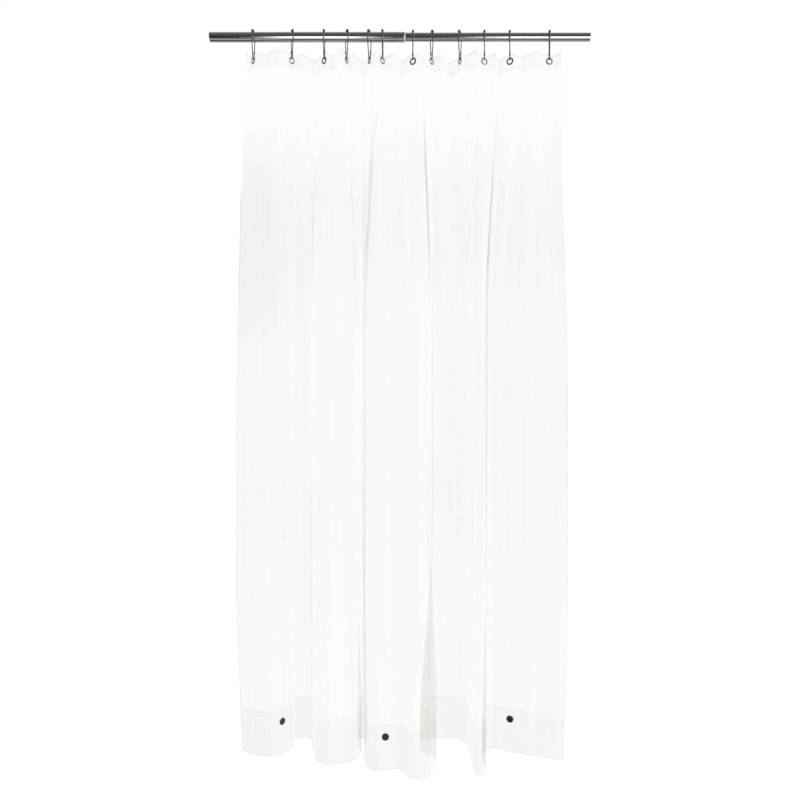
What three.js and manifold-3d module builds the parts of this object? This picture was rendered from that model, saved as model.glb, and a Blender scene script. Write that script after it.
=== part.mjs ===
// A shower curtain liner hanging by roller rings from a telescopic rod.
// Millimetres, +Z up. The origin is the centre of the rod's left end face, +X runs along the rod
// and the curtain's front faces -Y.
import * as THREE from "three";
import { mergeVertices } from "three/addons/utils/BufferGeometryUtils.js";
import Module from "manifold-3d";

const wasm = await Module();
wasm.setup();

// ---- driving dimensions -------------------------------------------------------------------------
const GAP = 0.3; // between pieces that touch

const ROD_LENGTH = 987; // both tubes together, as set
const OUTER_TUBE_LENGTH = 505;
const OUTER_TUBE_RADIUS = 12.7;
const INNER_TUBE_RADIUS = 11;
const TUBE_WALL = 0.8;
const HIDDEN_LENGTH = 260; // of the inner tube, inside the outer one
const RUNNING_GAP = 0.12; // inner tube in its bushing
const BUSHING_LENGTH = 22;
const BUSHING_LIP = 2;
const PLUG_LENGTH = 16;
const EXPANDER_LENGTH = 34;
const TUBE_SIDES = 28;

const RING_X = [112, 213, 296, 355, 414, 448, 527, 576, 649, 713, 779, 882]; // places on the rod
const RING_TURN = [3, -19, 2, -18, 16, 3, 0, -11, 19, 7, 10, 8]; // degrees, + takes the rear leg right
const WIRE_RADIUS = 1.3;
const ROLLER_RADIUS = 3;
const ROLLER_NECK = 2.3;
const ROLLER_COUNT = 5;
const ROLLER_PITCH = 21; // degrees on the arc over the rod
const RING_FOOT = 57.2; // from the rod's axis down to the wire's lowest centre
const FOOT_RADIUS = 6.4;
const CLASP_RADIUS = 2.1;
const CLASP_TOP = -33;
const CLASP_LENGTH = 10;
const CLASP_SLIT = 0.6;
const WIRE_SIDES = 6;
const ROLLER_SIDES = 8;

const SHEET_WIDTH = 1778; // flat
const SHEET_THICKNESS = 0.4;
const SHEET_TOP = -42.6;
const SHEET_FOOT = -1871;
const HEADER_FOOT = -82; // down to here the sheet keeps the plan of its header
const SIDE_MARGIN = 50.8; // from a side edge to the first eyelet
const EYELET_PITCH = 152.4; // along the flat sheet
const EYELET_TURN = [-53, 53, -44, 70, -66, 50, -31, 55, -70, 24, -31, 8]; // degrees from +X
const EYELET_FLAT = 18; // straight stretch of sheet to each side of an eyelet
const EYELET_RADIUS = 9.25;
const EYELET_BORE = 5.5;
const EYELET_BARREL = 6.2;
const EYELET_FLANGE = 0.6;
const EYELET_SIDES = 12;
const STEPS_PER_PLEAT = 3; // columns of the sheet on one side of a header pleat

const MAGNET_X = [184, 457, 784];
const MAGNET_ABOVE_FOOT = 86;
const MAGNET_RADIUS = 9;
const MAGNET_THICKNESS = 3;
const MAGNET_EDGE = 0.6;

// ---- sizes that follow ---------------------------------------------------------------------------
const outerBore = OUTER_TUBE_RADIUS - TUBE_WALL;
const innerBore = INNER_TUBE_RADIUS - TUBE_WALL;
const ringArc = OUTER_TUBE_RADIUS + GAP + ROLLER_RADIUS; // the wire's radius over the rod
const rollerBore = WIRE_RADIUS + 0.4;
const eyeletChannel = SHEET_THICKNESS / 2 + GAP; // half the gap between the two flanges

const tubeDrop = (x) => (x > OUTER_TUBE_LENGTH ? OUTER_TUBE_RADIUS - INNER_TUBE_RADIUS : 0);

// How far a ring's arc hangs below the rod's axis. On the thinner tube it is lower by the difference
// of the radii, and a ring turned askew rides up a little on its end rollers.
function ringDrop(index) {
  const drop = tubeDrop(RING_X[index]);
  const side = THREE.MathUtils.degToRad((ROLLER_PITCH * (ROLLER_COUNT - 1)) / 2);
  const turn = THREE.MathUtils.degToRad(RING_TURN[index]);
  const across = Math.hypot(Math.sin(side) * Math.cos(turn), Math.cos(side));
  const ride = (OUTER_TUBE_RADIUS - drop) * (1 / across - 1);
  return drop - ride / Math.cos(side);
}

// From the rod's axis down to an eyelet's centre. The bore hangs on the inside of the ring's round
// foot, and an eyelet that stands askew to its ring rides higher on that curve.
function eyeletDrop(index) {
  const askew = THREE.MathUtils.degToRad(RING_TURN[index] + EYELET_TURN[index]);
  const face = eyeletChannel + EYELET_FLANGE;
  const reach = (face + WIRE_RADIUS * Math.abs(Math.sin(askew))) / Math.cos(askew);
  const inside = FOOT_RADIUS - WIRE_RADIUS;
  const rise = inside - Math.sqrt(inside * inside - reach * reach);
  return RING_FOOT - WIRE_RADIUS - GAP + EYELET_BORE - rise + ringDrop(index);
}

// ---- materials -----------------------------------------------------------------------------------
function material(color, roughness, metalness, opacity = 1) {
  return new THREE.MeshStandardMaterial({
    color,
    roughness,
    metalness,
    opacity,
    transparent: opacity < 1,
    side: opacity < 1 ? THREE.DoubleSide : THREE.FrontSide,
  });
}

const chrome = () => material(0xcfd2d6, 0.12, 1);
const whitePlastic = () => material(0xf2f2ee, 0.5, 0);
const frostedSheet = () => material(0xf4f3ee, 0.35, 0, 0.6);
const blackMagnet = () => material(0x17171a, 0.4, 0.2);

// ---- helpers -------------------------------------------------------------------------------------
const rad = THREE.MathUtils.degToRad;

function toSolid(geometry) {
  const bare = geometry.clone();
  bare.deleteAttribute("normal");
  bare.deleteAttribute("uv");
  const merged = mergeVertices(bare, 1e-4);
  return new wasm.Manifold(
    new wasm.Mesh({
      numProp: 3,
      vertProperties: new Float32Array(merged.attributes.position.array),
      triVerts: new Uint32Array(merged.index.array),
    }),
  );
}

function toGeometry(solid) {
  const mesh = solid.getMesh();
  const geometry = new THREE.BufferGeometry();
  geometry.setAttribute("position", new THREE.BufferAttribute(mesh.vertProperties, 3));
  geometry.setIndex(new THREE.BufferAttribute(mesh.triVerts, 1));
  geometry.computeVertexNormals();
  return geometry;
}

function piece(name, geometry, look) {
  const mesh = new THREE.Mesh(geometry, look);
  mesh.name = name;
  return mesh;
}

// A turned piece about +X. The outline is [distance along X, radius], and its outer side runs
// towards +X.
function turned(outline, sides) {
  const points = outline.map(([along, radius]) => new THREE.Vector2(radius, along));
  const geometry = new THREE.LatheGeometry(points, sides);
  geometry.rotateZ(-Math.PI / 2);
  return geometry;
}

function closed(outline) {
  return [...outline, outline[0]];
}

function tube(start, end, outer, inner, sides) {
  const outline = [
    [start, outer],
    [end, outer],
    [end, inner],
    [start, inner],
  ];
  return turned(closed(outline), sides);
}

function numbered(stem, index) {
  return stem + "_" + String(index + 1).padStart(2, "0");
}

// ---- rod -----------------------------------------------------------------------------------------
function endPlug(name, faceX, inward, radius) {
  const chamfer = 0.5;
  const back = faceX + inward * PLUG_LENGTH;
  const outline = [
    [faceX, 0],
    [faceX, radius - chamfer],
    [faceX + inward * chamfer, radius],
    [back, radius],
    [back, 0],
  ];
  const geometry = turned(inward > 0 ? outline : outline.reverse(), TUBE_SIDES);
  return piece(name, geometry, whitePlastic());
}

function bushing() {
  const inner = INNER_TUBE_RADIUS + RUNNING_GAP;
  const outer = outerBore - RUNNING_GAP;
  const mouth = OUTER_TUBE_LENGTH + GAP;
  const outline = [
    [mouth - BUSHING_LENGTH, inner],
    [mouth - BUSHING_LENGTH, outer],
    [mouth, outer],
    [mouth, OUTER_TUBE_RADIUS],
    [mouth + BUSHING_LIP, OUTER_TUBE_RADIUS - 0.5],
    [mouth + BUSHING_LIP, inner],
  ];
  return piece("mouth_bushing", turned(closed(outline), TUBE_SIDES), whitePlastic());
}

// The split cone inside the inner end of the inner tube: its head bears on the outer tube's bore.
function expander() {
  const end = OUTER_TUBE_LENGTH - HIDDEN_LENGTH;
  const stem = innerBore - GAP;
  const head = outerBore - GAP;
  const outline = [
    [end - EXPANDER_LENGTH, 0],
    [end - EXPANDER_LENGTH, head - 2],
    [end - EXPANDER_LENGTH + 4, head],
    [end - 6, head],
    [end - GAP, stem + 0.2],
    [end - GAP, stem],
    [end + 14, stem],
    [end + 14, 0],
  ];
  return piece("lock_expander", turned(outline, TUBE_SIDES), whitePlastic());
}

function rod() {
  const group = new THREE.Group();
  const innerStart = OUTER_TUBE_LENGTH - HIDDEN_LENGTH;
  const outerTube = tube(0, OUTER_TUBE_LENGTH, OUTER_TUBE_RADIUS, outerBore, TUBE_SIDES);
  const innerTube = tube(innerStart, ROD_LENGTH, INNER_TUBE_RADIUS, innerBore, TUBE_SIDES);
  group.add(
    piece("outer_tube", outerTube, chrome()),
    piece("inner_tube", innerTube, chrome()),
    endPlug("end_plug_left", 0, 1, outerBore - GAP),
    endPlug("end_plug_right", ROD_LENGTH, -1, innerBore - GAP),
    bushing(),
    expander(),
  );
  return group;
}

// ---- roller rings --------------------------------------------------------------------------------
// A route through chosen points in which each stretch is one step of the extrusion.
class BentWire extends THREE.Curve {
  constructor(points) {
    super();
    this.points = points;
  }

  getPoint(t, target = new THREE.Vector3()) {
    const last = this.points.length - 1;
    const at = Math.min(Math.max(t, 0), 1) * last;
    const index = Math.min(Math.floor(at), last - 1);
    return target.lerpVectors(this.points[index], this.points[index + 1], at - index);
  }

  getPointAt(u, target) {
    return this.getPoint(u, target);
  }

  getTangentAt(u, target) {
    return this.getTangent(u, target);
  }
}

function polygon(radius, sides) {
  const shape = new THREE.Shape();
  for (let i = 0; i < sides; i++) {
    const angle = (2 * Math.PI * i) / sides;
    const corner = [radius * Math.cos(angle), radius * Math.sin(angle)];
    if (i === 0) shape.moveTo(...corner);
    else shape.lineTo(...corner);
  }
  return shape;
}

function wireAlong(points, radius, sides) {
  return new THREE.ExtrudeGeometry(polygon(radius, sides), {
    steps: points.length - 1,
    bevelEnabled: false,
    extrudePath: new BentWire(points),
  });
}

// Stations of the pear-shaped ring in its own plane: x = 0, the front towards -Y, z from the centre
// of the arc over the rod. The rear leg is cut at the clasp.
function ringRoute(depth) {
  const footCentre = FOOT_RADIUS - depth;
  const lean = Math.asin((ringArc - FOOT_RADIUS) / -footCentre);
  const onArc = (angle) =>
    new THREE.Vector3(0, ringArc * Math.sin(angle), ringArc * Math.cos(angle));
  const onFoot = (angle) =>
    new THREE.Vector3(0, FOOT_RADIUS * Math.sin(angle), footCentre + FOOT_RADIUS * Math.cos(angle));
  const tangentAngle = Math.PI / 2 + lean;
  const arcTangent = onArc(tangentAngle);
  const footTangent = onFoot(tangentAngle);
  const legAt = (z) =>
    arcTangent.clone().lerp(footTangent, (z - arcTangent.z) / (footTangent.z - arcTangent.z));
  const points = [legAt(CLASP_TOP), arcTangent];
  const half = Math.floor(tangentAngle / rad(ROLLER_PITCH) - 0.5);
  for (let k = half; k >= -half - 1; k--) points.push(onArc((k + 0.5) * rad(ROLLER_PITCH)));
  points.push(onArc(-tangentAngle));
  const turns = 6;
  for (let k = 0; k <= turns; k++) {
    points.push(onFoot(-tangentAngle - (2 * (Math.PI - tangentAngle) * k) / turns));
  }
  points.push(legAt(CLASP_TOP - CLASP_LENGTH - CLASP_SLIT));
  return { points, clasp: [legAt(CLASP_TOP + 1), legAt(CLASP_TOP - CLASP_LENGTH)] };
}

function ringWire(depth) {
  const { points, clasp } = ringRoute(depth);
  const wire = toSolid(wireAlong(points, WIRE_RADIUS, WIRE_SIDES));
  const ferrule = toSolid(wireAlong(clasp, CLASP_RADIUS, ROLLER_SIDES));
  return toGeometry(wire.add(ferrule));
}

// The string of rollers on the arc: a lathe bent over the rod.
function rollers() {
  const pitch = ringArc * rad(ROLLER_PITCH);
  const length = pitch * ROLLER_COUNT;
  const outline = [];
  for (let k = 0; k <= ROLLER_COUNT; k++) outline.push([k * pitch - length / 2, rollerBore]);
  for (let k = ROLLER_COUNT; k > 0; k--) {
    const end = k * pitch - length / 2;
    outline.push([end, ROLLER_NECK], [end - 0.3 * pitch, ROLLER_RADIUS]);
    outline.push([end - 0.7 * pitch, ROLLER_RADIUS]);
  }
  outline.push([-length / 2, ROLLER_NECK]);
  const points = closed(outline).map(([along, radius]) => new THREE.Vector2(radius, along));
  const geometry = new THREE.LatheGeometry(points.reverse(), ROLLER_SIDES);
  const position = geometry.attributes.position;
  for (let i = 0; i < position.count; i++) {
    const angle = position.getY(i) / ringArc;
    const reach = ringArc + position.getZ(i);
    position.setXYZ(i, position.getX(i), reach * Math.sin(angle), reach * Math.cos(angle));
  }
  return geometry;
}

function rings() {
  const group = new THREE.Group();
  RING_X.forEach((x, index) => {
    const ring = new THREE.Group();
    ring.position.set(x, 0, -ringDrop(index));
    ring.rotation.z = -rad(RING_TURN[index]);
    ring.add(
      piece(numbered("ring_wire", index), ringWire(RING_FOOT), chrome()),
      piece(numbered("ring_rollers", index), rollers(), chrome()),
    );
    group.add(ring);
  });
  return group;
}

// ---- eyelets -------------------------------------------------------------------------------------
function eyelet() {
  const face = eyeletChannel + EYELET_FLANGE;
  const outline = [
    [EYELET_BORE, -face],
    [EYELET_RADIUS, -face],
    [EYELET_RADIUS, -eyeletChannel],
    [EYELET_BARREL, -eyeletChannel],
    [EYELET_BARREL, eyeletChannel],
    [EYELET_RADIUS, eyeletChannel],
    [EYELET_RADIUS, face],
    [EYELET_BORE, face],
  ];
  const points = closed(outline).map(([radius, along]) => new THREE.Vector2(radius, along));
  return new THREE.LatheGeometry(points, EYELET_SIDES);
}

function eyelets() {
  const group = new THREE.Group();
  RING_X.forEach((x, index) => {
    const mesh = piece(numbered("eyelet", index), eyelet(), chrome());
    mesh.position.set(x, 0, -eyeletDrop(index));
    mesh.rotation.z = rad(EYELET_TURN[index]);
    group.add(mesh);
  });
  return group;
}

// ---- curtain sheet -------------------------------------------------------------------------------
// Both plans are lists of THREE.Vector2 (x, y), with one entry for each column of the sheet.
const eyeletAlong = (index) => SIDE_MARGIN + index * EYELET_PITCH;

// The point of a pleat: each side of it is as long as the sheet between two flats allows.
function pleatPoint(from, to, side, reach) {
  const across = to.clone().sub(from);
  const rise = Math.sqrt(reach * reach - across.lengthSq() / 4);
  const normal = new THREE.Vector2(-across.y, across.x).normalize();
  return from.clone().add(to).multiplyScalar(0.5).addScaledVector(normal, side * rise);
}

// Stations of the header: [length along the sheet, plan point].
function headerStations() {
  const reach = EYELET_PITCH / 2 - EYELET_FLAT;
  const tail = SIDE_MARGIN - EYELET_FLAT;
  const flats = RING_X.map((x, index) => {
    const turn = rad(EYELET_TURN[index]);
    const half = new THREE.Vector2(Math.cos(turn), Math.sin(turn)).multiplyScalar(EYELET_FLAT);
    const centre = new THREE.Vector2(x, 0);
    return { start: centre.clone().sub(half), centre, end: centre.clone().add(half) };
  });
  const first = flats[0];
  const last = flats[flats.length - 1];
  const stations = [[0, new THREE.Vector2(first.start.x - 6, first.start.y - tail)]];
  flats.forEach((flat, index) => {
    const along = eyeletAlong(index);
    stations.push([along - EYELET_FLAT, flat.start], [along, flat.centre]);
    stations.push([along + EYELET_FLAT, flat.end]);
    if (flat === last) return;
    const side = Math.sign(-EYELET_TURN[index]);
    const point = pleatPoint(flat.end, flats[index + 1].start, side, reach);
    stations.push([along + EYELET_PITCH / 2, point]);
  });
  stations.push([SHEET_WIDTH, new THREE.Vector2(last.end.x + 8, last.end.y - tail + 1)]);
  return stations;
}

// Where the columns stand along the sheet: every station, and even steps between them.
function columns(stations) {
  const list = [0];
  for (let k = 1; k < stations.length; k++) {
    const from = stations[k - 1][0];
    const length = stations[k][0] - from;
    const steps = length > EYELET_FLAT + 1 ? STEPS_PER_PLEAT : 1;
    for (let step = 1; step <= steps; step++) list.push(from + (length * step) / steps);
  }
  return list;
}

function headerPlan(stations, along) {
  const next = Math.max(1, stations.findIndex((station) => station[0] >= along - 1e-6));
  const [from, a] = stations[next - 1];
  const [to, b] = stations[next];
  return a.clone().lerp(b, (along - from) / (to - from));
}

// The deep folds that the sheet falls into, from the left edge to the right edge. Near is -Y.
const FOLDS = new THREE.CatmullRomCurve3(
  [
    [75, 34], [112, 12], [150, 3], [185, 16], [204, 50], [213, 92], [230, 103], [248, 92],
    [263, 34], [281, -18], [307, -37], [349, -28], [373, 2], [383, 60], [391, 102], [399, 60],
    [409, -44], [440, -66], [498, -60], [526, -99], [554, -90], [570, -40], [580, 30], [593, 96],
    [625, 101], [664, 84], [676, 18], [684, -66], [696, -84], [708, -66], [717, 10], [733, 45],
    [780, 30], [829, 14], [913, -15],
  ].map(([x, y]) => new THREE.Vector3(x, y, 0)),
  false,
  "centripetal",
);
FOLDS.arcLengthDivisions = 2000;

// Rows of the sheet from the top: [z, share of the deep folds, how far the edges stand out].
const ROWS = [
  [SHEET_TOP, 0, 0],
  [HEADER_FOOT, 0, 0],
  [-230, 0.3, 0],
  [-470, 0.72, 6],
  [-900, 1, 20],
  [-1450, 1, 22],
  [SHEET_FOOT, 1, 0],
];

function planRow(stations, list, foldShare, flare) {
  const middle = (FOLDS.points[0].x + FOLDS.points[FOLDS.points.length - 1].x) / 2;
  return list.map((along) => {
    const header = headerPlan(stations, along);
    const fold = FOLDS.getPointAt(along / SHEET_WIDTH);
    const fromMiddle = (fold.x - middle) / middle;
    const plan = new THREE.Vector2(fold.x + flare * fromMiddle ** 3, fold.y);
    return header.lerp(plan, foldShare);
  });
}

// The share of the deep folds and the flare at a height between two rows.
function rowAt(z) {
  const next = Math.max(1, ROWS.findIndex((row) => row[0] <= z));
  const share = THREE.MathUtils.inverseLerp(ROWS[next - 1][0], ROWS[next][0], z);
  return [1, 2].map((part) => THREE.MathUtils.lerp(ROWS[next - 1][part], ROWS[next][part], share));
}

// Half the sheet's thickness at each column, as a plan vector square to the sheet.
function offsets(row) {
  const normals = row.slice(1).map((point, index) => {
    const along = point.clone().sub(row[index]).normalize();
    return new THREE.Vector2(-along.y, along.x);
  });
  return row.map((_, index) => {
    const before = normals[Math.max(index - 1, 0)];
    const after = normals[Math.min(index, normals.length - 1)];
    const middle = before.clone().add(after).normalize();
    const stretch = Math.min(1 / Math.max(middle.dot(before), 0.2), 4);
    return middle.multiplyScalar((stretch * SHEET_THICKNESS) / 2);
  });
}

// A sheet on a ring over the thinner tube hangs lower, and eases down between the two.
function sheetDrop(along) {
  const firstLow = RING_X.findIndex((x) => tubeDrop(x) > 0);
  const drop = tubeDrop(ROD_LENGTH);
  if (firstLow < 1) return firstLow === 0 ? drop : 0;
  return drop * THREE.MathUtils.smoothstep(along, eyeletAlong(firstLow - 1), eyeletAlong(firstLow));
}

function sheetGeometry() {
  const stations = headerStations();
  const list = columns(stations);
  const count = list.length;
  const positions = [];
  for (const [z, foldShare, flare] of ROWS) {
    const row = planRow(stations, list, foldShare, flare);
    const half = offsets(row);
    for (const side of [-1, 1]) {
      row.forEach((point, index) => {
        const x = point.x + side * half[index].x;
        const y = point.y + side * half[index].y;
        positions.push(x, y, z - sheetDrop(list[index]));
      });
    }
  }
  const at = (rowIndex, side, index) => (rowIndex * 2 + side) * count + index;
  const faces = [];
  const quad = (a, b, c, d) => faces.push(a, b, c, a, c, d);
  for (let r = 0; r + 1 < ROWS.length; r++) {
    for (let k = 0; k + 1 < count; k++) {
      quad(at(r + 1, 0, k), at(r + 1, 0, k + 1), at(r, 0, k + 1), at(r, 0, k));
      quad(at(r + 1, 1, k), at(r, 1, k), at(r, 1, k + 1), at(r + 1, 1, k + 1));
    }
    quad(at(r + 1, 1, 0), at(r + 1, 0, 0), at(r, 0, 0), at(r, 1, 0));
    quad(at(r + 1, 0, count - 1), at(r + 1, 1, count - 1), at(r, 1, count - 1), at(r, 0, count - 1));
  }
  const foot = ROWS.length - 1;
  for (let k = 0; k + 1 < count; k++) {
    quad(at(0, 0, k), at(0, 0, k + 1), at(0, 1, k + 1), at(0, 1, k));
    quad(at(foot, 1, k), at(foot, 1, k + 1), at(foot, 0, k + 1), at(foot, 0, k));
  }
  const geometry = new THREE.BufferGeometry();
  geometry.setAttribute("position", new THREE.Float32BufferAttribute(positions, 3));
  geometry.setIndex(faces);
  return geometry;
}

function sheet() {
  let solid = toSolid(sheetGeometry());
  const reach = 2 * eyeletChannel;
  RING_X.forEach((x, index) => {
    const punch = new THREE.CylinderGeometry(EYELET_BARREL + GAP, EYELET_BARREL + GAP, reach, EYELET_SIDES);
    punch.rotateZ(rad(EYELET_TURN[index]));
    punch.translate(x, 0, -eyeletDrop(index));
    solid = solid.subtract(toSolid(punch));
  });
  return piece("curtain_sheet", toGeometry(solid), frostedSheet());
}

// ---- magnets -------------------------------------------------------------------------------------
function magnetProfile() {
  const half = MAGNET_THICKNESS / 2;
  return [
    [0, -half],
    [MAGNET_RADIUS - MAGNET_EDGE, -half],
    [MAGNET_RADIUS, -half + MAGNET_EDGE],
    [MAGNET_RADIUS, half - MAGNET_EDGE],
    [MAGNET_RADIUS - MAGNET_EDGE, half],
    [0, half],
  ].map(([radius, along]) => new THREE.Vector2(radius, along));
}

// Each magnet lies flat against the front of the sheet.
function magnets() {
  const group = new THREE.Group();
  const stations = headerStations();
  const list = columns(stations);
  const height = SHEET_FOOT + MAGNET_ABOVE_FOOT;
  const row = planRow(stations, list, ...rowAt(height));
  MAGNET_X.forEach((x, index) => {
    const next = row.findIndex((point) => point.x > x);
    const a = row[next - 1];
    const b = row[next];
    const turn = Math.atan2(b.y - a.y, b.x - a.x);
    const front = new THREE.Vector2(Math.sin(turn), -Math.cos(turn));
    const away = SHEET_THICKNESS / 2 + GAP + MAGNET_THICKNESS / 2;
    const centre = a.clone().lerp(b, (x - a.x) / (b.x - a.x)).addScaledVector(front, away);
    const geometry = new THREE.LatheGeometry(magnetProfile(), 20);
    const mesh = piece(numbered("hem_magnet", index), geometry, blackMagnet());
    mesh.position.set(centre.x, centre.y, height);
    mesh.rotation.z = turn;
    group.add(mesh);
  });
  return group;
}

// ---- whole ---------------------------------------------------------------------------------------
const curtain = new THREE.Group();
curtain.add(rod(), rings(), eyelets(), sheet(), magnets());
export default curtain;
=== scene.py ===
"""Looks of a frosted shower curtain liner on a telescopic rod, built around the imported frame.

Metres, +Z up. +X runs along the rod, and the curtain's front faces -Y.
"""

import math

import bpy
import numpy as np
from mathutils import Matrix, Vector

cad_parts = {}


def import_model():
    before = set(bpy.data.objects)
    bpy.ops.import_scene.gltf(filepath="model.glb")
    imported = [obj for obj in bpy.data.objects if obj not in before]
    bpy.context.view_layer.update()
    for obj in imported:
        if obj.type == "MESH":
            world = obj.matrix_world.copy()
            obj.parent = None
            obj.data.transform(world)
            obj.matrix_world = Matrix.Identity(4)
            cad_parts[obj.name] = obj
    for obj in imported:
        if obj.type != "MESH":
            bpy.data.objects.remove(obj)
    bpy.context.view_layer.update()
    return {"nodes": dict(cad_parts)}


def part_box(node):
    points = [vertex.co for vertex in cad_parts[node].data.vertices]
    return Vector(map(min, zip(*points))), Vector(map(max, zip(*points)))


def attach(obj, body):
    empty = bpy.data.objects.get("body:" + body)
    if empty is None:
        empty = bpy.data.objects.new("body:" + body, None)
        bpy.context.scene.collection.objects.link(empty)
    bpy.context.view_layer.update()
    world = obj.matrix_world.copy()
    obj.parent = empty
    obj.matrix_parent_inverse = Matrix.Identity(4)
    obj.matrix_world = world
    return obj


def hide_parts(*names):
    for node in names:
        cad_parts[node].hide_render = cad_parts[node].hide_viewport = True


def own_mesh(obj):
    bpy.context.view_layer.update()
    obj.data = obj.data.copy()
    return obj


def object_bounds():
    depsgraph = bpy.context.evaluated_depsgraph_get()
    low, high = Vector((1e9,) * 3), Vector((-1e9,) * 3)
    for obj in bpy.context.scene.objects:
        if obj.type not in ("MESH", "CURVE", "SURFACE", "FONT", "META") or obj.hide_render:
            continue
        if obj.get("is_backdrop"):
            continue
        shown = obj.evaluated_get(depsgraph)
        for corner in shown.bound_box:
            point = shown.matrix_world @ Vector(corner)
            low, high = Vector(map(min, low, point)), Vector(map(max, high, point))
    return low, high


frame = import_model()

# ---- sizes -----------------------------------------------------------------------------------------
RING_COUNT = 12
MAGNET_COUNT = 3

OUTER_RADIUS = 0.0127
INNER_RADIUS = 0.011
TUBE_WALL = 0.0008

WIRE_RADIUS = 0.0013
RING_ARC = 0.016
RING_FOOT = 0.0572
FOOT_RADIUS = 0.0064
CLASP_TOP = -0.033
CLASP_LENGTH = 0.010
ROLLER_RADIUS = 0.003
ROLLER_PITCH = math.radians(21)
ROLLER_COUNT = 5

EYELET_RADIUS = 0.00925
EYELET_BORE = 0.0055
EYELET_CHANNEL = 0.0005
EYELET_FLANGE = 0.0006

SHEET_WIDTH = 1.778
SHEET_HEIGHT = 1.829
SIDE_MARGIN = 0.0508
EYELET_PITCH = 0.1524
EYELET_FLAT = 0.018
HEADER_HEIGHT = 0.040
HEM_HEIGHT = 0.115
COLUMN_STEP = 0.0035
ROW_STEP = 0.008
TOP_STEP = 0.003
TOP_DEPTH = 0.045
HOLE_RADIUS = 0.0066
HEADER_BACK = 0.0004
HEM_BACK = 0.0006

MAGNET_RADIUS = 0.009
MAGNET_THICKNESS = 0.003

# The film's colour and the share of its opacity, by depth below the top edge (1 at the foot). The
# colour holds painted light and shade: lighter near the top, darkest about a fifth to a quarter of
# the way down, and warmer below.
FILM_TINT_AND_SHADE = [
    (0.0, (0.90, 0.90, 0.90)), (0.09, (0.87, 0.87, 0.87)), (0.19, (0.72, 0.72, 0.72)),
    (0.27, (0.69, 0.69, 0.69)), (0.36, (0.79, 0.785, 0.777)), (0.44, (0.80, 0.765, 0.715)),
    (1.0, (0.795, 0.75, 0.70)),
]
FILM_VEIL = [(0.0, (0.45, 0.45, 0.45)), (0.06, (0.5, 0.5, 0.5)), (0.18, (1.0, 1.0, 1.0))]
# Painted shade over the sheet's left side: its share by the same depth, how far in from the left edge
# it fades out, in metres, and how much it darkens.
LEFT_SHADE_SHARE = [(0.08, (0.0, 0.0, 0.0)), (0.22, (0.9, 0.9, 0.9)), (0.35, (1.0, 1.0, 1.0)),
               (0.42, (0.15, 0.15, 0.15))]
LEFT_SHADE_FADE = (0.08, 0.26)
LEFT_SHADE_STRENGTH = 0.42
# The sheet's opacity times the upper end of its streaks stays under a quarter. A denser film comes
# out of the denoiser with grain.
SHEET_OPACITY = 0.215
VEIL_STREAKS = (0.82, 1.16)
EDGE_ON_VEIL = 0.65
WELD_OPACITY = 0.16
WELD_HALF_WIDTH = 0.0013

# How the sheet's plan changes with the depth below its top edge, in metres.
PLEAT_REACH = 0.62
PLEAT_REACH_SWING = 0.22
PLEAT_REACH_LIMITS = (0.25, 1.1)
CURL_START = 1.25
CURL_LENGTH = 0.5
SIDE_FLARE = 0.022
FLARE_FULL = 0.9
FLARE_END = 1.9
FLARE_FADE = 0.5
SOFT_CREASE = 0.0016
CRINKLE = 0.0007
CRINKLE_DEPTH = 0.42
CRINKLE_SPREAD = 0.30
PACKING_CREASE = 0.0006

# What mirrors see, as (degrees, brightness): 0 is level and towards the camera, 90 is overhead, -90
# is underfoot and 180 is behind. Below the level, a window's view differs from the wall's.
ROOM_ABOVE = [(-7, 0.02), (2, 0.02), (8, 0.07), (40, 0.10), (70, 0.12), (105, 0.5), (118, 0.85),
              (136, 0.3), (150, 0.95), (180, 1.0)]
ROOM_WALL = [(-180, 1.0), (-160, 0.6), (-118, 0.18), (-92, 0.06), (-80, 0.12), (-69, 0.8),
             (-56, 0.08), (-18, 0.02)]
ROOM_WINDOW = [(-180, 1.0), (-160, 0.6), (-118, 0.34), (-92, 0.20), (-69, 0.10), (-58, 0.15),
               (-50, 1.2), (-14, 2.2)]
# The share of window by the sideways part of a direction, from -1 at the left to 1 at the right, and
# the part past which the room's right side is one bright screen.
ROOM_PANES = [(-0.185, 0.0), (-0.145, 1.0), (-0.065, 1.0), (-0.03, 0.03), (0.08, 0.03), (0.15, 1.0)]
SCREEN_START = 0.38
SCREEN_FULL = 0.50
SCREEN_LIGHT = 1.4
SOFT_LIGHT = 0.66
BACKDROP = 1.02

FLOOR_DROP = 0.12
FLOOR_REACH = 7.0
FLOOR_POINTS = 9
FLOOR_GLOW = 0.39

CAMERA_DISTANCE = 1.75
CAMERA_LENS = 30.3
CAMERA_DROP = 0.016


def box_centre(node):
    low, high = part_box(node)
    return (low + high) / 2


def number(index):
    return f"{index + 1:02d}"


def thin_axis(node):
    """The level direction in which a flat CAD node is thinnest."""
    points = np.array([v.co for v in frame["nodes"][node].data.vertices])
    _, axes = np.linalg.eigh(np.cov((points - points.mean(0)).T))
    return Vector((axes[0, 0], axes[1, 0], 0)).normalized()


def backward(axis):
    return -axis if axis.y < 0 else axis


def set_square(centre, axis):
    """The place of a lathed piece whose own axis is level, at that centre and along that axis."""
    up = Vector((0, 0, 1))
    turn = Matrix((axis, up.cross(axis), up)).transposed().to_4x4()
    return Matrix.Translation(centre) @ turn


EYELETS = [box_centre(f"eyelet_{number(i)}") for i in range(RING_COUNT)]
EYELET_AXES = [backward(thin_axis(f"eyelet_{number(i)}")) for i in range(RING_COUNT)]
SHEET_LOW, SHEET_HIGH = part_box("curtain_sheet")

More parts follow.
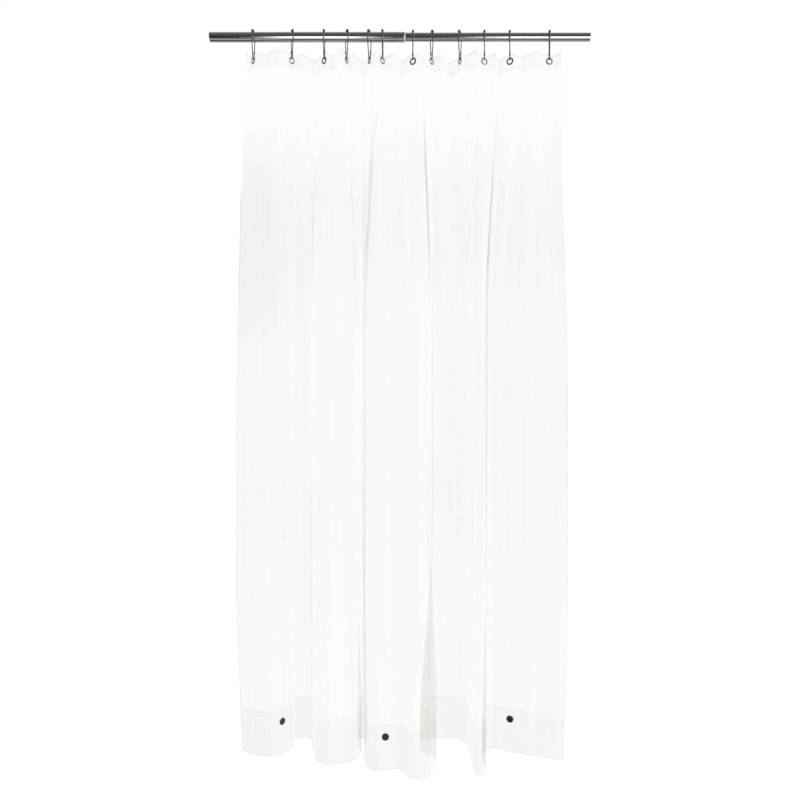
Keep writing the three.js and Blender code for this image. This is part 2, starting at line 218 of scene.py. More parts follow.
# ---- camera ----------------------------------------------------------------------------------------
rod_middle = (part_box("outer_tube")[0].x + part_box("inner_tube")[1].x) / 2
eye_level = (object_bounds()[0][2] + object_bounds()[1][2]) / 2 - CAMERA_DROP
camera_data = bpy.data.cameras.new("camera")
camera_data.lens = CAMERA_LENS
camera_data.clip_start = 0.01
camera = bpy.data.objects.new("camera", camera_data)
camera.location = (rod_middle, -CAMERA_DISTANCE, eye_level)
camera.rotation_euler = (math.radians(90), 0, 0)
bpy.context.scene.collection.objects.link(camera)
bpy.context.scene.camera = camera


# ---- mesh helpers ----------------------------------------------------------------------------------
def mesh_object(name, vertices, faces):
    """A smooth-shaded mesh, linked to the scene."""
    mesh = bpy.data.meshes.new(name)
    mesh.from_pydata([tuple(v) for v in vertices], [], [tuple(f) for f in faces])
    mesh.update()
    mesh.polygons.foreach_set("use_smooth", [True] * len(mesh.polygons))
    piece = bpy.data.objects.new(name, mesh)
    bpy.context.scene.collection.objects.link(piece)
    return piece


def sharpen(piece, degrees=35):
    """Keeps the edges sharper than that crisp under smooth shading."""
    piece.data.set_sharp_from_angle(angle=math.radians(degrees))
    return piece


def rounded(outline, radius, segments=3):
    """A closed outline with each corner turned into a short arc."""
    points = [Vector(p) for p in outline]
    result = []
    for before, corner, after in zip(points[-1:] + points[:-1], points, points[1:] + points[:1]):
        reach = min(radius, (before - corner).length / 2, (after - corner).length / 2)
        start = corner + (before - corner).normalized() * reach
        end = corner + (after - corner).normalized() * reach
        for segment in range(segments + 1):
            t = segment / segments
            result.append(tuple((1 - t) ** 2 * start + 2 * t * (1 - t) * corner + t * t * end))
    return result


def lathe(name, outline, sides, place=Matrix.Identity(4)):
    """Turns a closed outline of (along, radius) about its own X axis."""
    count = len(outline)
    vertices = []
    for k in range(sides):
        angle = 2 * math.pi * k / sides
        for along, radius in outline:
            spot = Vector((along, radius * math.cos(angle), radius * math.sin(angle)))
            vertices.append(place @ spot)
    faces = []
    for k in range(sides):
        a, b = k * count, (k + 1) % sides * count
        for i in range(count):
            j = (i + 1) % count
            faces.append((a + i, a + j, b + j, b + i))
    return sharpen(mesh_object(name, vertices, faces))


def sweep(name, path, radii, sides, normal):
    """A round wire along a flat path whose plane has that normal. Its ends are capped."""
    vertices = []
    for i, point in enumerate(path):
        along = (path[min(i + 1, len(path) - 1)] - path[max(i - 1, 0)]).normalized()
        across = along.cross(normal).normalized()
        for k in range(sides):
            angle = 2 * math.pi * k / sides
            spoke = math.cos(angle) * across + math.sin(angle) * normal
            vertices.append(point + radii[i] * spoke)
    faces = []
    for i in range(len(path) - 1):
        for k in range(sides):
            n = (k + 1) % sides
            a, b = i * sides, (i + 1) * sides
            faces.append((a + k, b + k, b + n, a + n))
    faces.append(tuple(range(sides)))
    faces.append(tuple(reversed(range((len(path) - 1) * sides, len(path) * sides))))
    return sharpen(mesh_object(name, vertices, faces), 50)


def joined(name, pieces):
    """One object out of several, by mesh data alone."""
    vertices, faces = [], []
    for piece in pieces:
        offset = len(vertices)
        vertices += [v.co.copy() for v in piece.data.vertices]
        faces += [[offset + i for i in p.vertices] for p in piece.data.polygons]
        bpy.data.objects.remove(piece)
    return sharpen(mesh_object(name, vertices, faces))


# ---- material helpers ------------------------------------------------------------------------------
def grey(value):
    return (value, value, value)


def scaled(color, share):
    return tuple(channel * share for channel in color)


class Nodes:
    """A node tree, with one call for each node."""

    def __init__(self, tree):
        self.tree = tree

    def node(self, kind, inputs=None, **settings):
        made = self.tree.nodes.new(kind)
        for key, value in settings.items():
            setattr(made, key, value)
        for key, value in (inputs or {}).items():
            if isinstance(value, bpy.types.NodeSocket):
                self.tree.links.new(value, made.inputs[key])
            else:
                made.inputs[key].default_value = value
        return made

    def math(self, operation, *values):
        return self.node("ShaderNodeMath", dict(enumerate(values)), operation=operation).outputs[0]

    def ramp(self, factor, stops):
        made = self.node("ShaderNodeValToRGB", {"Fac": factor})
        elements = made.color_ramp.elements
        while len(elements) < len(stops):
            elements.new(0.5)
        for element, (position, color) in zip(elements, stops):
            element.position = position
            element.color = (*color, 1)
        return made.outputs["Color"]

    def mix(self, factor, first, second, blend="MIX"):
        colors = [(*color, 1) if isinstance(color, tuple) else color for color in (first, second)]
        inputs = {0: factor, 6: colors[0], 7: colors[1]}
        return self.node("ShaderNodeMix", inputs, data_type="RGBA", blend_type=blend).outputs[2]

    def span(self, factor, low, high):
        made = self.node("ShaderNodeMapRange", {"Value": factor, "To Min": low, "To Max": high})
        return made.outputs[0]


class Shader(Nodes):
    """A material's node tree."""

    def __init__(self, name):
        self.material = bpy.data.materials.new(name)
        self.material.use_nodes = True
        super().__init__(self.material.node_tree)
        self.surface = self.tree.nodes["Principled BSDF"]

    def set(self, **values):
        for key, value in values.items():
            socket = self.surface.inputs[key.replace("_", " ")]
            if isinstance(value, bpy.types.NodeSocket):
                self.tree.links.new(value, socket)
            else:
                socket.default_value = value

    def coords(self, source="Object", scale=(1, 1, 1)):
        place = self.node("ShaderNodeTexCoord").outputs[source]
        return self.node("ShaderNodeMapping", {"Vector": place, "Scale": scale}).outputs[0]

    def noise(self, vector, scale, detail=3.0, roughness=0.55):
        made = self.node("ShaderNodeTexNoise", {"Vector": vector, "Scale": scale, "Detail": detail,
                                                "Roughness": roughness})
        return made.outputs["Fac"]

    def bump(self, height, strength, distance, normal=None):
        inputs = {"Height": height, "Strength": strength, "Distance": distance}
        if normal is not None:
            inputs["Normal"] = normal
        return self.node("ShaderNodeBump", inputs).outputs[0]


def chrome_material(name, tone, roughness, scratch_scale, streak=(1, 1, 1)):
    """Polished plating: faint swirl marks, a little haze and a very slight orange peel."""
    shader = Shader(name)
    marks = shader.noise(shader.coords(scale=streak), scratch_scale, 5.0, 0.6)
    haze = shader.noise(shader.coords(), 35.0, 2.0)
    warm, cool = (tone[0], tone[1] * 0.985, tone[2] * 0.97), tone
    shader.set(
        Base_Color=shader.ramp(haze, [(0.35, warm), (0.7, cool)]),
        Metallic=1.0,
        Roughness=shader.math("ADD", shader.span(marks, roughness * 0.6, roughness * 1.5),
                              shader.span(haze, 0.0, 0.02)),
        Normal=shader.bump(marks, 0.06, 0.00015),
    )
    return shader.material


def plastic_material(name, color, roughness):
    shader = Shader(name)
    grain = shader.noise(shader.coords(), 1800.0, 3.0)
    cloud = shader.noise(shader.coords(), 90.0, 2.0)
    shader.set(
        Base_Color=shader.ramp(cloud, [(0.3, scaled(color, 0.9)), (0.7, color)]),
        Roughness=shader.span(grain, roughness - 0.1, roughness + 0.12),
        Normal=shader.bump(grain, 0.15, 0.0001),
    )
    return shader.material


def magnet_material():
    shader = Shader("magnet_black")
    grain = shader.noise(shader.coords(), 2600.0, 4.0)
    wear = shader.noise(shader.coords(), 260.0, 3.0)
    shader.set(
        Base_Color=shader.ramp(wear, [(0.35, (0.008, 0.008, 0.009)),
                                      (0.75, (0.022, 0.021, 0.021))]),
        Roughness=shader.span(grain, 0.35, 0.6),
        Normal=shader.bump(grain, 0.25, 0.00012),
    )
    return shader.material


def film_tint_and_shade(shader, place, depth, tone):
    """The film's colour by depth with its painted light and shade, darker still under the painted shade over
    the left side.
    """
    shaded_tint = shader.ramp(depth, [(share, scaled(color, tone)) for share, color in FILM_TINT_AND_SHADE])
    inputs = {"Value": place["X"], "From Min": LEFT_SHADE_FADE[0], "From Max": LEFT_SHADE_FADE[1],
              "To Min": -LEFT_SHADE_STRENGTH, "To Max": 0.0}
    beside = shader.node("ShaderNodeMapRange", inputs).outputs[0]
    clear = shader.math("MULTIPLY_ADD", beside, shader.ramp(depth, LEFT_SHADE_SHARE), 1.0)
    return shader.mix(1.0, shaded_tint, clear, "MULTIPLY")


def film_veil(shader, place, depth, facing, opacity, welds, edges):
    """The film's opacity: uneven in drawn-out streaks, less edge-on, and more on welds and edges."""
    drawn = shader.noise(shader.coords("UV", (1, 0.02, 1)), 110.0, 3.0, 0.5)
    veil = shader.math("MULTIPLY", shader.ramp(depth, FILM_VEIL), opacity)
    veil = shader.math("MULTIPLY", veil, shader.span(drawn, *VEIL_STREAKS))
    edge_on = shader.ramp(facing, [(0.45, grey(1.0)), (0.85, grey(EDGE_ON_VEIL))])
    veil = shader.math("MULTIPLY", veil, edge_on)
    lines = [(place["Y"], -weld) for weld in welds] + [(place["X"], edge) for edge in edges]
    for along, line in lines:
        on_line = shader.math("COMPARE", along, line, WELD_HALF_WIDTH)
        veil = shader.math("MULTIPLY_ADD", on_line, WELD_OPACITY, veil)
    return veil


def film_material(name, opacity, roughness, tone=1.0, welds=(), edges=()):
    """Frosted clear film: a fine pebble, drawn-out crinkles along the folds and a pale cloudiness.

    It is clearer and more neutral towards its top, where its colour is lighter as painted light, and
    its colour holds painted shade in a band part way down and over its left side. The welds run across
    it at those depths below the top edge, and the edges run down it at those places of its width.
    """
    shader = Shader(name)
    pebble = shader.noise(shader.coords("UV"), 900.0, 3.0, 0.6)
    streaks = shader.noise(shader.coords("UV", (1, 0.035, 1)), 120.0, 5.0, 0.6)
    crinkle = shader.noise(shader.coords("UV", (1, 0.07, 1)), 55.0, 5.0, 0.6)
    cloud = shader.noise(shader.coords("UV", (1, 0.12, 1)), 14.0, 4.0, 0.55)
    place = shader.node("ShaderNodeSeparateXYZ", {0: shader.coords("UV")}).outputs
    depth = shader.math("MULTIPLY", place["Y"], -1 / SHEET_HEIGHT)
    facing = shader.node("ShaderNodeLayerWeight", {"Blend": 0.35}).outputs["Facing"]
    shade = shader.math("MULTIPLY_ADD", facing, 0.7, shader.math("MULTIPLY", streaks, 0.3))
    shade = shader.ramp(shader.math("MULTIPLY_ADD", cloud, 0.15, shade),
                        [(0.2, grey(1.0)), (0.95, (0.97, 0.965, 0.955))])
    shaded_tint = film_tint_and_shade(shader, place, depth, tone)
    fine = shader.bump(pebble, 0.05, 0.0001)
    folds = shader.bump(streaks, 0.35, 0.0012, fine)
    shader.set(
        Base_Color=shader.mix(1.0, shaded_tint, shade, "MULTIPLY"),
        Roughness=shader.span(cloud, roughness - 0.05, roughness + 0.1),
        IOR=1.5,
        Specular_IOR_Level=0.9,
        Alpha=film_veil(shader, place, depth, facing, opacity, welds, edges),
        Normal=shader.bump(crinkle, 0.4, 0.0016, folds),
    )
    return shader.material


def paint(piece, material):
    piece.data.materials.clear()
    piece.data.materials.append(material)
    return piece


def settle(piece, body, nodes):
    """A finished piece rides on its body and stands for its CAD nodes."""
    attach(piece, body)
    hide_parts(*nodes)
    return piece


ROD_CHROME = chrome_material("rod_chrome", (0.80, 0.80, 0.81), 0.07, 60.0, (0.15, 1, 1))
RING_CHROME = chrome_material("ring_chrome", (0.14, 0.14, 0.143), 0.10, 420.0)
ROLLER_CHROME = chrome_material("roller_chrome", (0.07, 0.07, 0.072), 0.14, 600.0)
EYELET_METAL = chrome_material("eyelet_steel", (0.36, 0.36, 0.36), 0.16, 500.0)
PLUG_PLASTIC = plastic_material("plug_plastic", (0.88, 0.88, 0.86), 0.45)
MAGNET_BLACK = magnet_material()
SHEET_FILM = film_material("frosted_sheet", SHEET_OPACITY, roughness=0.15,
                           edges=(0.0015, SHEET_WIDTH - 0.0015))
HEADER_FILM = film_material("frosted_header", 0.27, roughness=0.24, tone=0.90,
                            welds=(0.002, 0.006, HEADER_HEIGHT - 0.001))
HEM_FILM = film_material("frosted_hem", 0.085, roughness=0.26, tone=0.95,
                         welds=(SHEET_HEIGHT - HEM_HEIGHT, SHEET_HEIGHT - 0.0015))


# ---- rod -------------------------------------------------------------------------------------------
def tube(name, node, body, radius):
    """A chromed tube. A station just inside each eased mouth keeps the shading straight between."""
    low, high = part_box(node)
    start, end, inside, bore = low.x, high.x, 0.002, radius - TUBE_WALL
    outline = [(start, radius), (start + inside, radius), (end - inside, radius), (end, radius),
               (end, bore), (end - inside, bore), (start + inside, bore), (start, bore)]
    piece = lathe(name, rounded(outline, 0.00025, 2), 128)
    settle(paint(piece, ROD_CHROME), body, [node])


def rod():
    tube("rod_outer_tube", "outer_tube", "rod_outer", OUTER_RADIUS)
    tube("rod_inner_tube", "inner_tube", "rod_inner", INNER_RADIUS)
    plugs = (("end_plug_left", "rod_outer"), ("end_plug_right", "rod_inner"))
    for node, body in plugs:
        low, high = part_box(node)
        radius = (high.z - low.z) / 2
        outline = [(low.x, 0.0001), (low.x, radius), (high.x, radius), (high.x, 0.0001)]
        plug = lathe(node + "_moulded", rounded(outline, 0.0006), 96)
        settle(paint(plug, PLUG_PLASTIC), body, [node])
    low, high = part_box("mouth_bushing")
    bore = INNER_RADIUS + 0.00012
    seat = OUTER_RADIUS - TUBE_WALL - 0.0001
    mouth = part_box("outer_tube")[1].x + 0.0003
    outline = [(low.x, bore), (low.x, seat), (mouth, seat), (mouth, OUTER_RADIUS),
               (high.x, OUTER_RADIUS - 0.0004), (high.x, bore)]
    collar = lathe("rod_mouth_bushing", rounded(outline[::-1], 0.00035), 128)
    settle(paint(collar, PLUG_PLASTIC), "rod_outer", ["mouth_bushing"])
    paint(frame["nodes"]["lock_expander"], PLUG_PLASTIC)


# ---- roller rings ----------------------------------------------------------------------------------
def ring_frame(index):
    """Centre of the ring's arc, its front-to-back direction and its plane's normal."""
    wire = f"ring_wire_{number(index)}"
    side = thin_axis(wire)
    side = -side if side.x < 0 else side
    centre = Vector((box_centre(wire).x, 0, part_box(wire)[0].z + RING_FOOT + WIRE_RADIUS))
    return centre, backward(Vector((-side.y, side.x, 0))), side


def ring_path():
    """(back, up) points of the wire from the clasp's mouth round to its tip, and the rear leg."""
    foot = FOOT_RADIUS - RING_FOOT
    lean = math.asin((RING_ARC - FOOT_RADIUS) / -foot)
    touch = math.pi / 2 + lean

    def arc(angle):
        return Vector((RING_ARC * math.sin(angle), RING_ARC * math.cos(angle)))

    def bend(angle):
        return Vector((FOOT_RADIUS * math.sin(angle), foot + FOOT_RADIUS * math.cos(angle)))

    def leg(height):
        top, bottom = arc(touch), bend(touch)
        return top.lerp(bottom, (height - top.y) / (bottom.y - top.y))

    points = [leg(CLASP_TOP), leg((CLASP_TOP + arc(touch).y) / 2)]
    points += [arc(touch - 2 * touch * k / 56) for k in range(57)]
    front_top, front_bottom = arc(-touch), bend(-touch)
    points += [front_top.lerp(front_bottom, k / 10) for k in range(1, 10)]
    turn = 2 * (math.pi - touch)
    points += [bend(-touch - turn * k / 28) for k in range(29)]
    points.append(leg(CLASP_TOP - CLASP_LENGTH - 0.0006))
    return points, leg


# The clasp's sleeve, as (height above its top, radius): two barrels with a groove between them.
CLASP_PROFILE = [(0.0012, 0.0014), (0.0008, 0.0018), (0, 0.0021), (-0.003, 0.0021), (-0.0034, 0.0018),
                 (-0.0042, 0.0018), (-0.0046, 0.0021), (0.0006 - CLASP_LENGTH, 0.0021),
                 (-CLASP_LENGTH, 0.0017)]


def rings():
    points, leg = ring_path()
    for index in range(RING_COUNT):
        centre, back, side = ring_frame(index)
        tag = number(index)

        def place(point):
            return centre + back * point.x + Vector((0, 0, point.y))

        path = [place(p) for p in points]
        wire = sweep(f"ring_{tag}_wire", path, [WIRE_RADIUS] * len(path), 16, side)
        clasp = sweep(f"ring_{tag}_clasp", [place(leg(CLASP_TOP + rise)) for rise, _ in CLASP_PROFILE],
                      [radius for _, radius in CLASP_PROFILE], 20, side)
        wire = joined(f"ring_{tag}_wire", [wire, clasp])
        settle(paint(wire, RING_CHROME), f"ring_{tag}", [f"ring_wire_{tag}"])
        balls = rollers(tag, centre, back, side)
        settle(balls, f"ring_{tag}", [f"ring_rollers_{tag}"])


def rollers(tag, centre, back, side):
    """Separate ball rollers on the arc, each with a bore and a small flat at each end."""
    balls = []
    bore = WIRE_RADIUS + 0.0001
    half = 0.93 * math.sqrt(ROLLER_RADIUS ** 2 - bore ** 2)
    for k in range(ROLLER_COUNT):
        angle = (k - (ROLLER_COUNT - 1) / 2) * ROLLER_PITCH
        spot = centre + RING_ARC * (back * math.sin(angle) + Vector((0, 0, math.cos(angle))))
        along = back * math.cos(angle) - Vector((0, 0, math.sin(angle)))
        up = side.cross(along)
        arc = [(reach, math.sqrt(ROLLER_RADIUS ** 2 - reach ** 2)) for reach in steps(-half, half, half / 6)]
        outline = [(-half, bore), *arc, (half, bore)]
        turn = Matrix((along, side, up)).transposed().to_4x4()
        balls.append(lathe(f"roller_{tag}_{k}", outline, 24, Matrix.Translation(spot) @ turn))
    return paint(joined(f"ring_{tag}_rollers", balls), ROLLER_CHROME)


# ---- eyelets ---------------------------------------------------------------------------------------
def eyelets():
    """Two rolled flanges on a barrel: the front one is domed, the back one is a flat washer."""
    outer, bore = EYELET_RADIUS, EYELET_BORE
    lip = EYELET_CHANNEL + EYELET_FLANGE
    outline = [
        (-EYELET_CHANNEL, outer), (-EYELET_CHANNEL - 0.0002, outer), (-lip + 0.0001, outer - 0.0007),
        (-lip - 0.0003, outer - 0.0018), (-lip - 0.0002, bore + 0.0009), (-lip + 0.0001, bore + 0.0003),
        (-EYELET_CHANNEL, bore), (EYELET_CHANNEL, bore), (lip - 0.0001, bore + 0.0002),
        (lip, bore + 0.0007), (lip, outer - 0.0004), (lip - 0.0002, outer), (EYELET_CHANNEL, outer),
        (EYELET_CHANNEL, bore + 0.0007), (-EYELET_CHANNEL, bore + 0.0007),
    ]
    for index, (centre, axis) in enumerate(zip(EYELETS, EYELET_AXES)):
        tag = number(index)
        eyelet = lathe(f"eyelet_{tag}_rolled", outline[::-1], 64, set_square(centre, axis))
        settle(paint(eyelet, EYELET_METAL), f"ring_{tag}", [f"eyelet_{tag}"])


# ---- curtain sheet ---------------------------------------------------------------------------------
# The plan of the deep folds, left edge to right edge, in metres. Near is -Y.
FOLDS = [
    (0.075, 0.034), (0.112, 0.012), (0.150, 0.003), (0.185, 0.016), (0.204, 0.050), (0.213, 0.092),
    (0.230, 0.103), (0.248, 0.092), (0.263, 0.034), (0.281, -0.018), (0.307, -0.037), (0.349, -0.028),
    (0.373, 0.002), (0.383, 0.060), (0.391, 0.102), (0.399, 0.060), (0.409, -0.044), (0.440, -0.066),
    (0.498, -0.060), (0.526, -0.099), (0.554, -0.090), (0.570, -0.040), (0.580, 0.030), (0.593, 0.096),
    (0.625, 0.101), (0.664, 0.084), (0.676, 0.018), (0.684, -0.066), (0.696, -0.084), (0.708, -0.066),
    (0.717, 0.010), (0.733, 0.045), (0.780, 0.030), (0.829, 0.014), (0.913, -0.015),
]
# The same folds at the foot, where two of them curl under themselves.
FOOT_FOLDS = [
    (0.075, 0.034), (0.112, 0.012), (0.150, 0.003), (0.185, 0.016), (0.206, 0.050), (0.211, 0.092),
    (0.230, 0.103), (0.248, 0.092), (0.263, 0.034), (0.281, -0.018), (0.310, -0.038), (0.352, -0.028),
    (0.382, -0.008), (0.392, 0.020), (0.380, 0.070), (0.391, 0.102), (0.402, 0.060), (0.406, -0.040),
    (0.436, -0.066), (0.492, -0.058), (0.522, -0.099), (0.558, -0.092), (0.584, -0.040), (0.580, 0.004),
    (0.548, 0.040), (0.560, 0.090), (0.600, 0.103), (0.664, 0.084), (0.676, 0.018), (0.680, -0.066),
    (0.694, -0.085), (0.710, -0.066), (0.708, -0.010), (0.728, 0.045), (0.780, 0.030), (0.829, 0.014),
    (0.913, -0.015),
]


def smoothstep(value):
    t = np.clip(value, 0, 1)
    return t * t * (3 - 2 * t)


def curve_through(points, share):
    """Points of a centripetal spline, at those shares of its own length."""
    points = [np.array(p) for p in points]
    points = [2 * points[0] - points[1]] + points + [2 * points[-1] - points[-2]]
    dense = []
    for a, b, c, d in zip(points, points[1:], points[2:], points[3:]):
        spans = [math.sqrt(np.linalg.norm(q - p)) for p, q in ((a, b), (b, c), (c, d))]
        knots = np.cumsum([0.0] + spans)
        for t in np.linspace(knots[1], knots[2], 24, endpoint=False):
            ab = ((knots[1] - t) * a + (t - knots[0]) * b) / (knots[1] - knots[0])
            bc = ((knots[2] - t) * b + (t - knots[1]) * c) / (knots[2] - knots[1])
            cd = ((knots[3] - t) * c + (t - knots[2]) * d) / (knots[3] - knots[2])
            left = ((knots[2] - t) * ab + (t - knots[0]) * bc) / (knots[2] - knots[0])
            right = ((knots[3] - t) * bc + (t - knots[1]) * cd) / (knots[3] - knots[1])
            dense.append(((knots[2] - t) * left + (t - knots[1]) * right) / (knots[2] - knots[1]))
    dense.append(points[-2])
    dense = np.array(dense)
    reach = np.concatenate([[0], np.cumsum(np.linalg.norm(np.diff(dense, axis=0), axis=1))])
    return np.column_stack([np.interp(share * reach[-1], reach, dense[:, k]) for k in (0, 1)])


def header_plan(along):
    """The header's pleats: flat at each eyelet, a point to each side between two of them."""
    reach = EYELET_PITCH / 4 - EYELET_FLAT / 2
    tail = SIDE_MARGIN - EYELET_FLAT
    turns = [Vector((0, 0, 1)).cross(axis) * -1 for axis in EYELET_AXES]
    flats = []
    for centre, turn in zip(EYELETS, turns):
        spot, half = np.array(centre[:2]), np.array(turn[:2]) * EYELET_FLAT
        flats.append((spot - half, spot + half))
    stations = [(0, flats[0][0] + np.array((-0.006, -tail)))]
    for index, (start, end) in enumerate(flats):
        here = SIDE_MARGIN + index * EYELET_PITCH
        stations += [(here - EYELET_FLAT, start), (here + EYELET_FLAT, end)]
        if index + 1 < RING_COUNT:
            across = flats[index + 1][0] - end
            square = np.array((-across[1], across[0])) / np.linalg.norm(across)
            rise = -np.sign(turns[index].y) * math.sqrt(reach ** 2 - across @ across / 16)
            for share, side in ((0.25, 1), (0.5, 0), (0.75, -1)):
                place = here + EYELET_FLAT + share * 4 * reach
                stations.append((place, end + share * across + side * rise * square))
    stations.append((SHEET_WIDTH, flats[-1][1] + np.array((0.008, 0.001 - tail))))
    spots = np.array([s[0] for s in stations])
    plan = np.array([s[1] for s in stations])
    beyond, step = 0.04, 0.0005
    fine = np.arange(-beyond, SHEET_WIDTH + beyond, step)
    rough = np.column_stack([np.interp(fine, spots, plan[:, k]) for k in (0, 1)])
    crisp, soft = softened(rough, 0.006, step), softened(rough, 0.010, step)
    eyelet = SIDE_MARGIN + EYELET_PITCH * np.arange(RING_COUNT)
    apart = np.abs(fine[:, None] - eyelet[None]).min(1)
    plan = crisp + (soft - crisp) * smoothstep((apart - 0.016) / 0.03)[:, None]
    return np.column_stack([np.interp(along, fine, plan[:, k]) for k in (0, 1)])


def softened(plan, width, step):
    """A plan line with its corners rounded by a bell of that width."""
    spread = np.arange(-3 * width, 3 * width + step / 2, step)
    bell = np.exp(-(spread / width) ** 2 / 2)
    return np.column_stack([np.convolve(plan[:, k], bell / bell.sum(), "same") for k in (0, 1)])


def waves(along, down, seed, count, across, lengthwise):
    """Seeded sum of ripples, about -1 to 1: across and lengthwise are ranges of ripple length."""
    chance = np.random.default_rng(seed)
    total = np.zeros(np.broadcast(along, down).shape)
    for _ in range(count):
        wide = 1 / chance.uniform(*across)
        tall = chance.choice((-1, 1)) / chance.uniform(*lengthwise)
        total += np.sin(2 * math.pi * (along * wide + down * tall + chance.uniform()))
    return total / math.sqrt(count)


def sheet_points(along, down):
    """The sheet at those places of the flat film: along its width, down from its top edge."""
    share = along / SHEET_WIDTH
    header = header_plan(along)[None]
    folds = curve_through(FOLDS, share)[None]
    foot = curve_through(FOOT_FOLDS, share)[None]
    level = down[:, None, None]
    curl = smoothstep((level - CURL_START) / CURL_LENGTH)
    deep = folds * (1 - curl) + foot * curl
    flare = SIDE_FLARE * smoothstep(level / FLARE_FULL) * smoothstep((FLARE_END - level) / FLARE_FADE)
    middle = (FOLDS[0][0] + FOLDS[-1][0]) / 2
    deep[..., 0] += flare[..., 0] * ((deep[..., 0] - middle) / middle) ** 3
    swing = waves(along[None], 0 * level[..., 0], 3, 7, (0.12, 0.5), (9, 10))
    reach = np.clip(PLEAT_REACH + PLEAT_REACH_SWING * swing, *PLEAT_REACH_LIMITS)
    kept = 1 - smoothstep((level - HEADER_HEIGHT) / reach[..., None])
    plan = deep * (1 - kept) + header * kept
    plan = plan + ripples(plan, along, down)
    top = SHEET_HIGH.z - sag(along)
    height = top[None] - down[:, None]
    return np.concatenate([plan, height[..., None]], axis=-1)


def ripples(plan, along, down):
    """Small creases square to the film: soft pleats, drawn-out crinkles and packaging folds."""
    step = np.gradient(plan, axis=1)
    length = np.linalg.norm(step, axis=-1, keepdims=True)
    square = np.stack([-step[..., 1], step[..., 0]], axis=-1) / np.maximum(length, 1e-6)
    level, place = down[:, None], along[None]
    calm = smoothstep((level - 0.06) / 0.15)
    soft = SOFT_CREASE * waves(place, level, 11, 9, (0.03, 0.09), (0.8, 3.0)) * calm
    upper = np.exp(-((level - CRINKLE_DEPTH) / CRINKLE_SPREAD) ** 2)
    right = 1 + 0.9 * smoothstep((place - 1.42) / 0.12)
    crinkle = CRINKLE * waves(place, level, 17, 14, (0.006, 0.02), (0.12, 0.6))
    crinkle = crinkle * (0.1 + upper * right) * calm
    return (soft + crinkle + packing(place, level) * calm)[..., None] * square


def packing(place, level):
    """Crisp fold lines left by the sheet's folded package, plainest at the right."""
    lines = 0
    for height in (0.92, 1.31, 1.49, 1.53, 1.65):
        lines = lines + np.exp(-np.abs(level - height - 0.004 * np.sin(place * 9 + height)) / 0.004)
    for width in (0.445, 0.889, 1.334, 1.61):
        lines = lines + 0.5 * np.exp(-np.abs(place - width) / 0.003)
    right = 0.25 + 0.75 * smoothstep((place - 1.4) / 0.1)
    return PACKING_CREASE * right * lines * (0.6 + 0.4 * np.sin(place * 21 + level * 13))


def sag(along):
    """Rings on the thinner tube hang lower, and the sheet eases down between the two."""
    drop = OUTER_RADIUS - INNER_RADIUS
    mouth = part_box("outer_tube")[1].x
    first = next(i for i, centre in enumerate(EYELETS) if centre.x > mouth)
    start = SIDE_MARGIN + (first - 1) * EYELET_PITCH
    return drop * smoothstep((along - start) / EYELET_PITCH)


def film(name, along, down, back=0.0):
    """A stretch of film as a grid, with its flat measures as UVs and holes for the eyelets."""
    points = sheet_points(along, down)
    if back:
        step = np.gradient(points[..., :2], axis=1)
        square = np.stack([-step[..., 1], step[..., 0]], axis=-1)
        points[..., :2] += back * square / np.linalg.norm(square, axis=-1, keepdims=True)
    rows, columns = points.shape[:2]
    index = np.arange(rows * columns).reshape(rows, columns)
    faces = np.stack([index[:-1, :-1], index[1:, :-1], index[1:, 1:], index[:-1, 1:]], axis=-1)
    middles = (points[:-1, :-1] + points[1:, 1:]) / 2
    open_film = np.zeros(middles.shape[:2], bool)
    for centre in EYELETS:
        open_film |= np.linalg.norm(middles - np.array(centre), axis=-1) < HOLE_RADIUS
    faces = faces[~open_film]
    piece = mesh_object(name, points.reshape(-1, 3), faces.tolist())
    layer = piece.data.uv_layers.new(name="flat")
    places = np.stack(np.broadcast_arrays(along[None], -down[:, None]), axis=-1).reshape(-1, 2)
    corners = np.empty(len(piece.data.loops), np.int32)
    piece.data.loops.foreach_get("vertex_index", corners)
    layer.data.foreach_set("uv", places[corners].astype(np.float32).ravel())
    return piece


def steps(start, end, size):
    return np.linspace(start, end, max(2, round((end - start) / size) + 1))


def curtain():
    along = steps(0, SHEET_WIDTH, COLUMN_STEP)
    height = SHEET_HIGH.z - SHEET_LOW.z - (OUTER_RADIUS - INNER_RADIUS)
    down = np.concatenate([steps(0, TOP_DEPTH, TOP_STEP), steps(TOP_DEPTH, height, ROW_STEP)[1:]])
    sheet = paint(film("curtain_film", along, down), SHEET_FILM)
    down = steps(0.001, HEADER_HEIGHT, TOP_STEP)
    header = paint(film("curtain_header", along, down, HEADER_BACK), HEADER_FILM)
    down = steps(height - HEM_HEIGHT, height, ROW_STEP)
    hem = paint(film("curtain_hem", along, down, HEM_BACK), HEM_FILM)
    for piece in (sheet, header, hem):
        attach(piece, f"ring_{number(RING_COUNT - 1)}")
        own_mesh(piece)
    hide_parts("curtain_sheet")


# ---- magnets ---------------------------------------------------------------------------------------
def magnets():
    for index in range(MAGNET_COUNT):
        tag = number(index)
        node = f"hem_magnet_{tag}"
        half = MAGNET_THICKNESS / 2
        outline = [(-half, 0.0001), (-half, 0.0052), (-half + 0.0002, 0.0056), (-half, 0.0060),
                   (-half, MAGNET_RADIUS - 0.0008), (-half + 0.0008, MAGNET_RADIUS),
                   (half - 0.0004, MAGNET_RADIUS), (half, MAGNET_RADIUS - 0.0004), (half, 0.0001)]
        disc = lathe(f"magnet_{tag}_disc", rounded(outline[::-1], 0.0003, 2), 64,
                     set_square(box_centre(node), backward(thin_axis(node))))
        settle(paint(disc, MAGNET_BLACK), f"magnet_{tag}", [node])


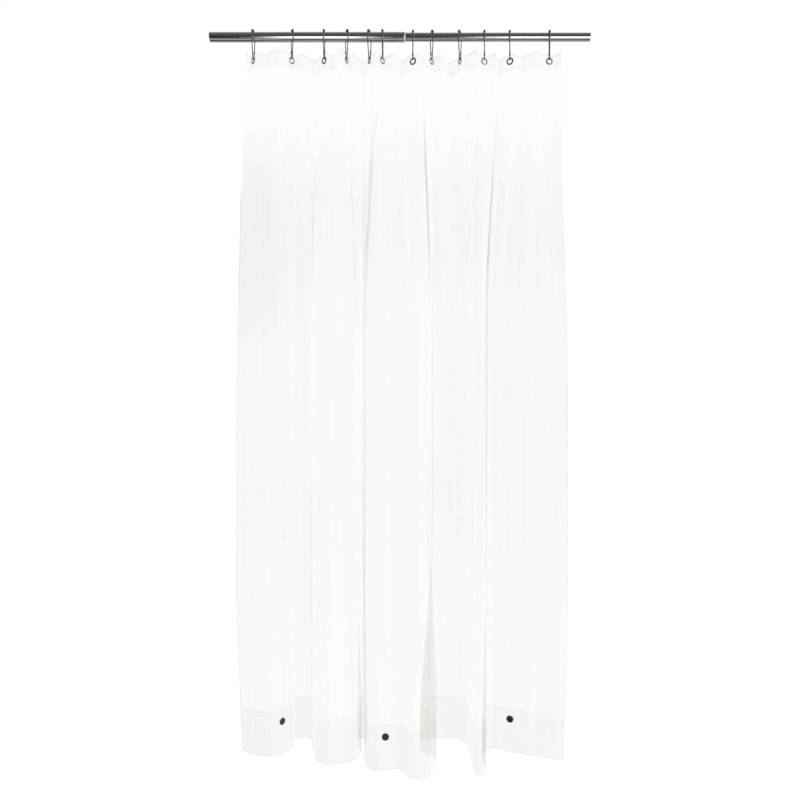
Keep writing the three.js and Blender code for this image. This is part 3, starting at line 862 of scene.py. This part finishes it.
# ---- studio ----------------------------------------------------------------------------------------
def floor():
    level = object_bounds()[0][2] - FLOOR_DROP
    count = FLOOR_POINTS
    places = np.linspace(-FLOOR_REACH, FLOOR_REACH, count)
    vertices = [(rod_middle + x, y, level) for y in places for x in places]
    faces = [(r * count + c, r * count + c + 1, (r + 1) * count + c + 1, (r + 1) * count + c)
             for r in range(count - 1) for c in range(count - 1)]
    plate = mesh_object("studio_floor", vertices, faces)
    shader = Shader("studio_floor")
    mottle = shader.noise(shader.coords(), 3.0, 4.0)
    shader.set(Base_Color=shader.ramp(mottle, [(0.3, grey(0.93)), (0.7, grey(0.96))]), Roughness=0.9,
               Emission_Color=(1, 1, 1, 1), Emission_Strength=FLOOR_GLOW, Specular_IOR_Level=0.0)
    paint(plate, shader.material)
    plate.visible_glossy = False
    plate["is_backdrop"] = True


def around(stops):
    """Ramp stops out of (degrees, brightness) from -180 to 180."""
    return [((degrees + 180) / 360, grey(value)) for degrees, value in stops]


def world():
    """White for the eye and an even soft light, while mirrors see a dark room with bright windows."""
    studio = bpy.data.worlds.new("studio")
    bpy.context.scene.world = studio
    studio.use_nodes = True
    nodes = Nodes(studio.node_tree)
    generated = nodes.node("ShaderNodeTexCoord").outputs["Generated"]
    way = nodes.node("ShaderNodeSeparateXYZ", {0: generated}).outputs
    rise = nodes.math("ARCTAN2", way["Z"], nodes.math("MULTIPLY", way["Y"], -1.0))
    turn = nodes.math("MULTIPLY_ADD", rise, 0.5 / math.pi, 0.5)
    wall = nodes.ramp(turn, around(ROOM_WALL + ROOM_ABOVE))
    window = nodes.ramp(turn, around(ROOM_WINDOW + ROOM_ABOVE))
    pane = nodes.ramp(nodes.math("MULTIPLY_ADD", way["X"], 0.5, 0.5),
                      [((x + 1) / 2, grey(value)) for x, value in ROOM_PANES])
    room = nodes.mix(pane, wall, window)
    aside = nodes.ramp(way["X"], [(SCREEN_START, grey(0.0)), (SCREEN_FULL, grey(1.0))])
    room = nodes.mix(aside, room, grey(SCREEN_LIGHT))
    rays = nodes.node("ShaderNodeLightPath").outputs
    lit = nodes.mix(rays["Is Glossy Ray"], grey(SOFT_LIGHT), room)
    seen = nodes.mix(rays["Is Camera Ray"], lit, grey(BACKDROP))
    nodes.tree.links.new(seen, nodes.tree.nodes["Background"].inputs["Color"])


def softbox(name, place, target, size, watts):
    data = bpy.data.lights.new(name, "AREA")
    data.shape = "RECTANGLE"
    data.size, data.size_y = size
    data.energy = watts
    lamp = bpy.data.objects.new(name, data)
    lamp.location = place
    lamp.rotation_euler = (Vector(target) - Vector(place)).to_track_quat("-Z", "Y").to_euler()
    bpy.context.scene.collection.objects.link(lamp)


def studio():
    floor()
    world()
    level = -0.9
    middle = (rod_middle, 0, level)
    softbox("softbox_left", (rod_middle - 2.2, -1.6, level), middle, (0.2, 4.4), watts=5)
    softbox("softbox_right", (rod_middle + 2.4, -1.2, level), middle, (0.25, 4.4), watts=9)
    settings = bpy.context.scene.view_settings
    settings.view_transform = "Standard"
    settings.look = "None"


rod()
rings()
eyelets()
curtain()
magnets()
studio()
